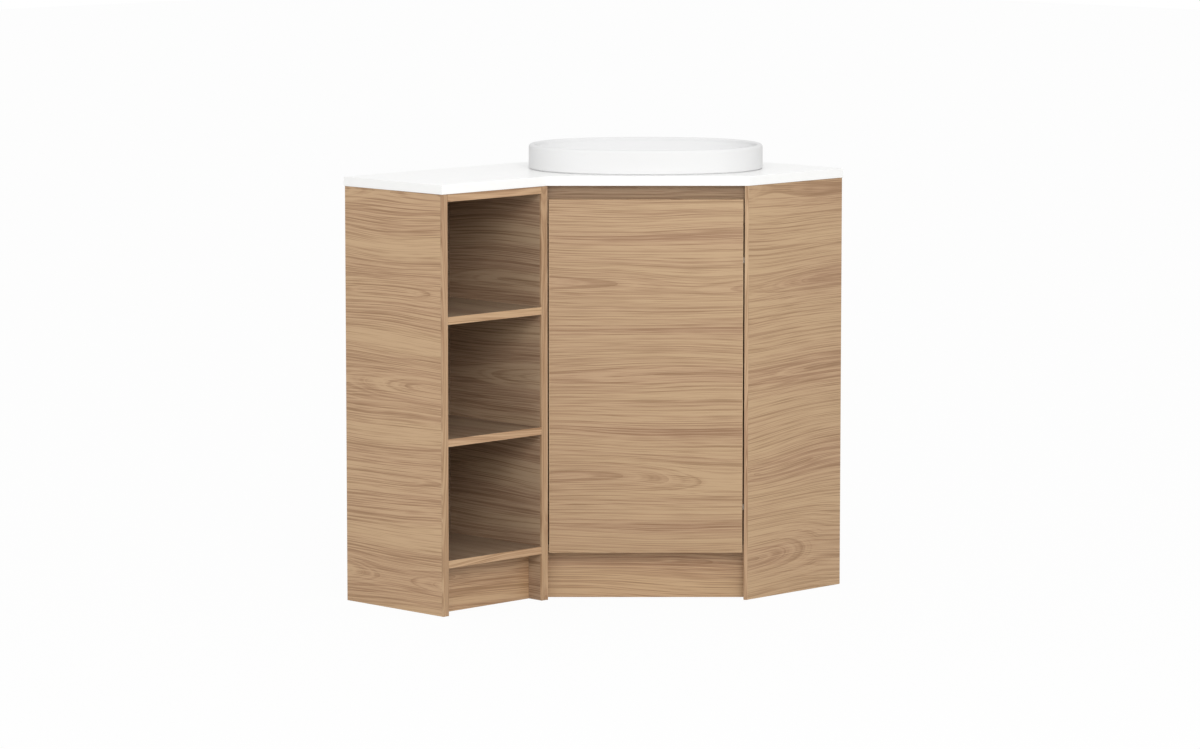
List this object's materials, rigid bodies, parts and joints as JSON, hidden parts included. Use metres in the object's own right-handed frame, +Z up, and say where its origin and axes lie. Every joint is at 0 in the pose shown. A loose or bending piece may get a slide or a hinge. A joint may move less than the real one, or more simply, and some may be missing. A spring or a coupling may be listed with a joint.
{
  "type": "corner vanity unit",
  "caption": "Corner vanity unit in light oak: open shelf unit, diagonal-door cabinet with finger gap, white benchtop and oval basin with pop-up waste.",
  "frame": {"origin": "on the floor under the middle of the benchtop's 895 by 600 mm rectangle", "axes": "+Z up; +Y towards the long wall behind the unit; +X towards the short wall at its right, so the room corner is at +X +Y and the door faces -X -Y"},
  "size_m": [0.895, 0.6, 0.952],
  "materials": {
    "oak_board": "satin oak-look decor board, grain lengthways",
    "oak_lipping": "satin oak lipping, grain along the edge",
    "oak_edge_band": "satin oak-look edge band",
    "oak_interior_board": "satin oak-look decor board",
    "beech": "plain turned beech",
    "white_solid_surface": "satin white solid surface",
    "white_glaze": "glossy white glaze",
    "clear_silicone": "cured sanitary silicone",
    "clear_bumper": "soft clear polyurethane",
    "black_rubber": "moulded matte rubber",
    "chrome_plate": "polished chrome plate on brass",
    "cartridge_brass": "turned brass",
    "zinc_plated_steel": "bright zinc plate",
    "screw_steel": "zinc plated steel",
    "nickel_plated_steel": "satin nickel plate"
  },
  "bodies": {
    "cabinet": {"left_end_panel": "oak_board", "left_panel_lipping": "oak_lipping", "divider_panel": "oak_board", "divider_lipping": "oak_lipping", "right_end_panel": "oak_board", "right_panel_edge_band": "oak_lipping", "shelf_unit_base": "oak_board", "lower_shelf": "oak_board", "upper_shelf": "oak_board", "shelf_unit_top": "oak_board", "shelf_edge_bands": "oak_edge_band", "shelf_unit_back": "oak_interior_board", "shelf_unit_kickboard": "oak_board", "cabinet_base": "oak_interior_board", "door_side_kickboard": "oak_board", "finger_pull_rail": "oak_board", "long_wall_top_rail": "oak_interior_board", "long_wall_back_panel": "oak_interior_board", "short_wall_top_rail": "oak_interior_board", "short_wall_back_panel": "oak_interior_board", "corner_post": "oak_interior_board", "carcass_dowels": "beech", "benchtop_brackets": "zinc_plated_steel", "bracket_screws": "screw_steel", "benchtop": "white_solid_surface", "basin": "white_glaze", "basin_seal": "clear_silicone", "waste_body": "chrome_plate", "waste_flange_seal": "black_rubber", "waste_washer": "black_rubber", "waste_backnut": "chrome_plate", "plug_cartridge": "cartridge_brass", "hinge_arms": "nickel_plated_steel", "hinge_plates": "nickel_plated_steel", "hinge_plate_screws": "screw_steel"},
    "door": {"door": "oak_board", "door_edge_bands": "oak_edge_band", "door_bumpers": "clear_bumper", "hinge_cups": "nickel_plated_steel", "hinge_cup_screws": "screw_steel"},
    "hinge_link_pair": {"hinge_links": "nickel_plated_steel"},
    "plug": {"pop_up_plug": "chrome_plate"}
  },
  "joints": [
    {"name": "door_swing", "type": "hinge", "parent": "cabinet", "child": "door", "pos_m": [0.14899, -0.2912, 0.476], "axis": [0, 0, 1], "range_deg": [0, 95]},
    {"name": "hinge_link_swing", "type": "hinge", "parent": "cabinet", "child": "hinge_link_pair", "pos_m": [0.14899, -0.2912, 0.476], "axis": [0, 0, 1], "range_deg": [0, 47.5]},
    {"name": "plug_lift", "type": "slide", "parent": "cabinet", "child": "plug", "axis": [0, 0, 1], "range_m": [0, 0.008]}
  ],
  "couplings": [
    {"joint": "hinge_link_swing", "follows": "door_swing", "ratio": 0.5}
  ]
}
